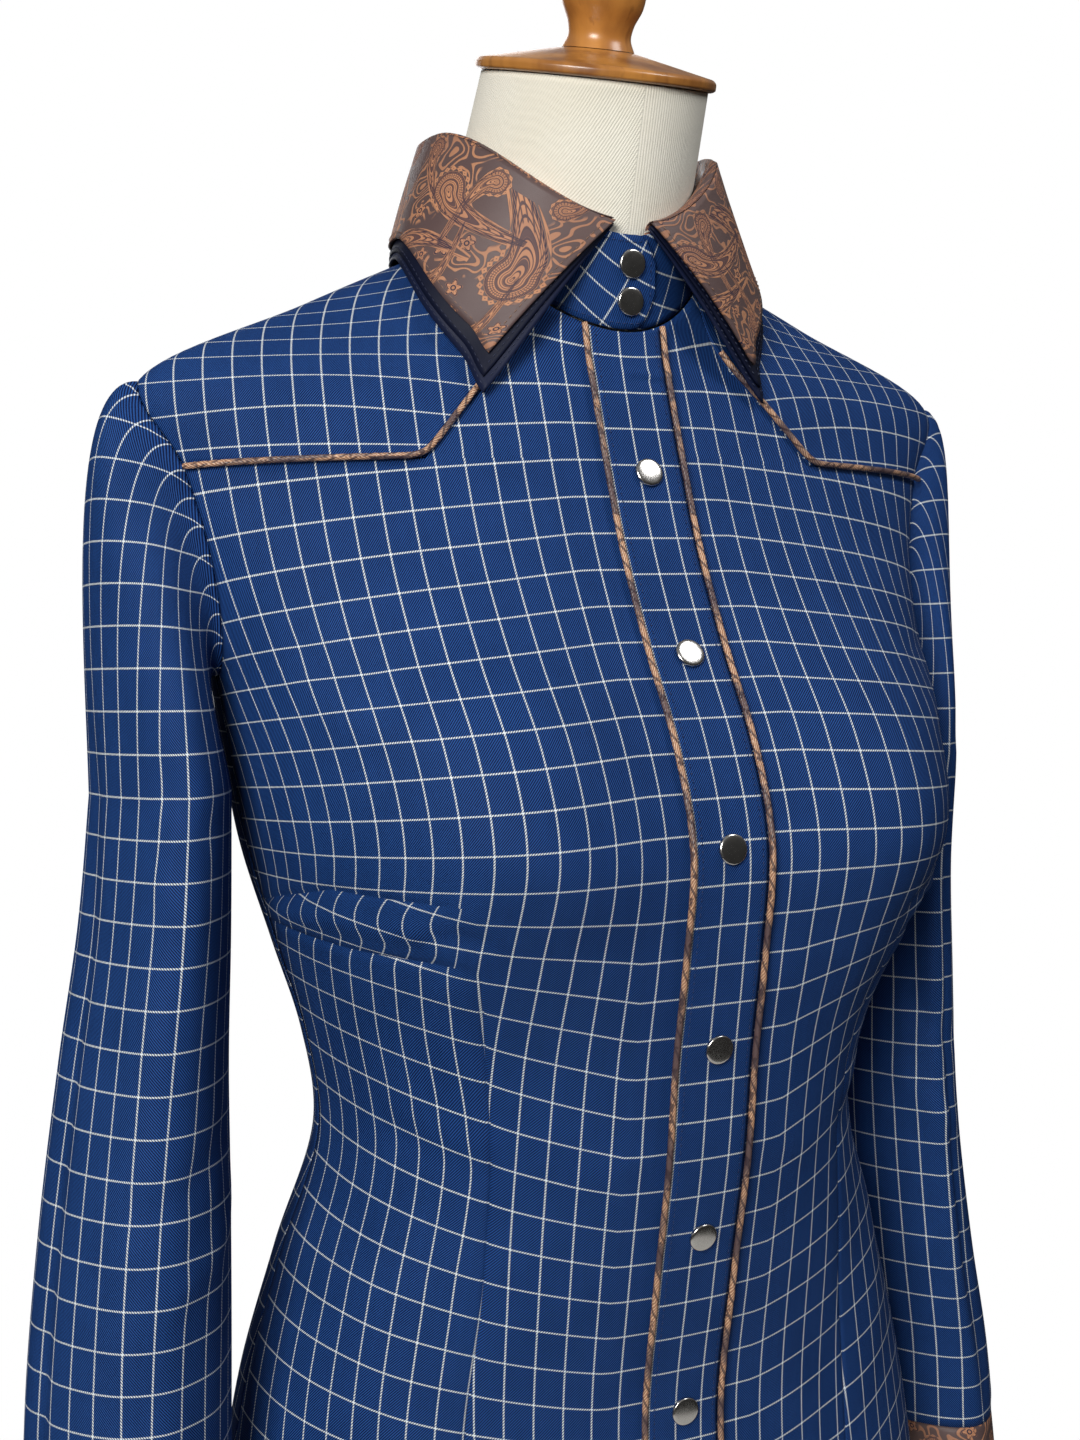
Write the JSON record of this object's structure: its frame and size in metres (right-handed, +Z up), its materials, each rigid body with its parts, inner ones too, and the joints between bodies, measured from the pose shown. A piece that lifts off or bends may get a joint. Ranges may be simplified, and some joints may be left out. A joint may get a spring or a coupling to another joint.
{
  "type": "western snap shirt on a dress form",
  "caption": "Fitted long-sleeved western snap shirt in blue windowpane check with paisley collar, cuffs and piping, worn by a limbless dress form on a round stand.",
  "frame": {"origin": "centre of the stand base's underside, on the surface it stands on", "axes": "+Z up the pole, the shirt's front faces -Y, the wearer's left is +X"},
  "size_m": [0.4823, 0.2663, 0.9863],
  "materials": {
    "blue_check": "fine twill with a white windowpane check",
    "copper_paisley": "brown satin jacquard with a copper paisley figure",
    "navy_satin": "dark navy satin",
    "snap_metal": "polished nickel caps",
    "cream_jersey": "cream cotton jersey",
    "brown_wood": "honey-brown varnish"
  },
  "bodies": {
    "root": {"front_right": "blue_check", "front_left": "blue_check", "yoke_front_right": "blue_check", "yoke_front_left": "blue_check", "back": "blue_check", "yoke_back": "blue_check", "placket": "blue_check", "collar_stand": "blue_check", "sleeve_right": "blue_check", "sleeve_left": "blue_check", "collar_top": "copper_paisley", "cuff_right": "copper_paisley", "cuff_left": "copper_paisley", "piping_placket_right": "copper_paisley", "piping_placket_left": "copper_paisley", "piping_yoke_right": "copper_paisley", "piping_yoke_left": "copper_paisley", "piping_yoke_back": "copper_paisley", "collar_under": "navy_satin", "snap_front_1": "snap_metal", "snap_front_2": "snap_metal", "snap_front_3": "snap_metal", "snap_front_4": "snap_metal", "snap_front_5": "snap_metal", "snap_front_6": "snap_metal", "snap_front_7": "snap_metal", "snap_stand_1": "snap_metal", "snap_stand_2": "snap_metal", "snap_cuff_right_1": "snap_metal", "snap_cuff_right_2": "snap_metal", "snap_cuff_left_1": "snap_metal", "snap_cuff_left_2": "snap_metal", "dress_form": "cream_jersey", "neck_cap": "brown_wood", "neck_knob": "brown_wood", "stand_pole": "brown_wood", "stand_base": "brown_wood"}
  },
  "joints": []
}
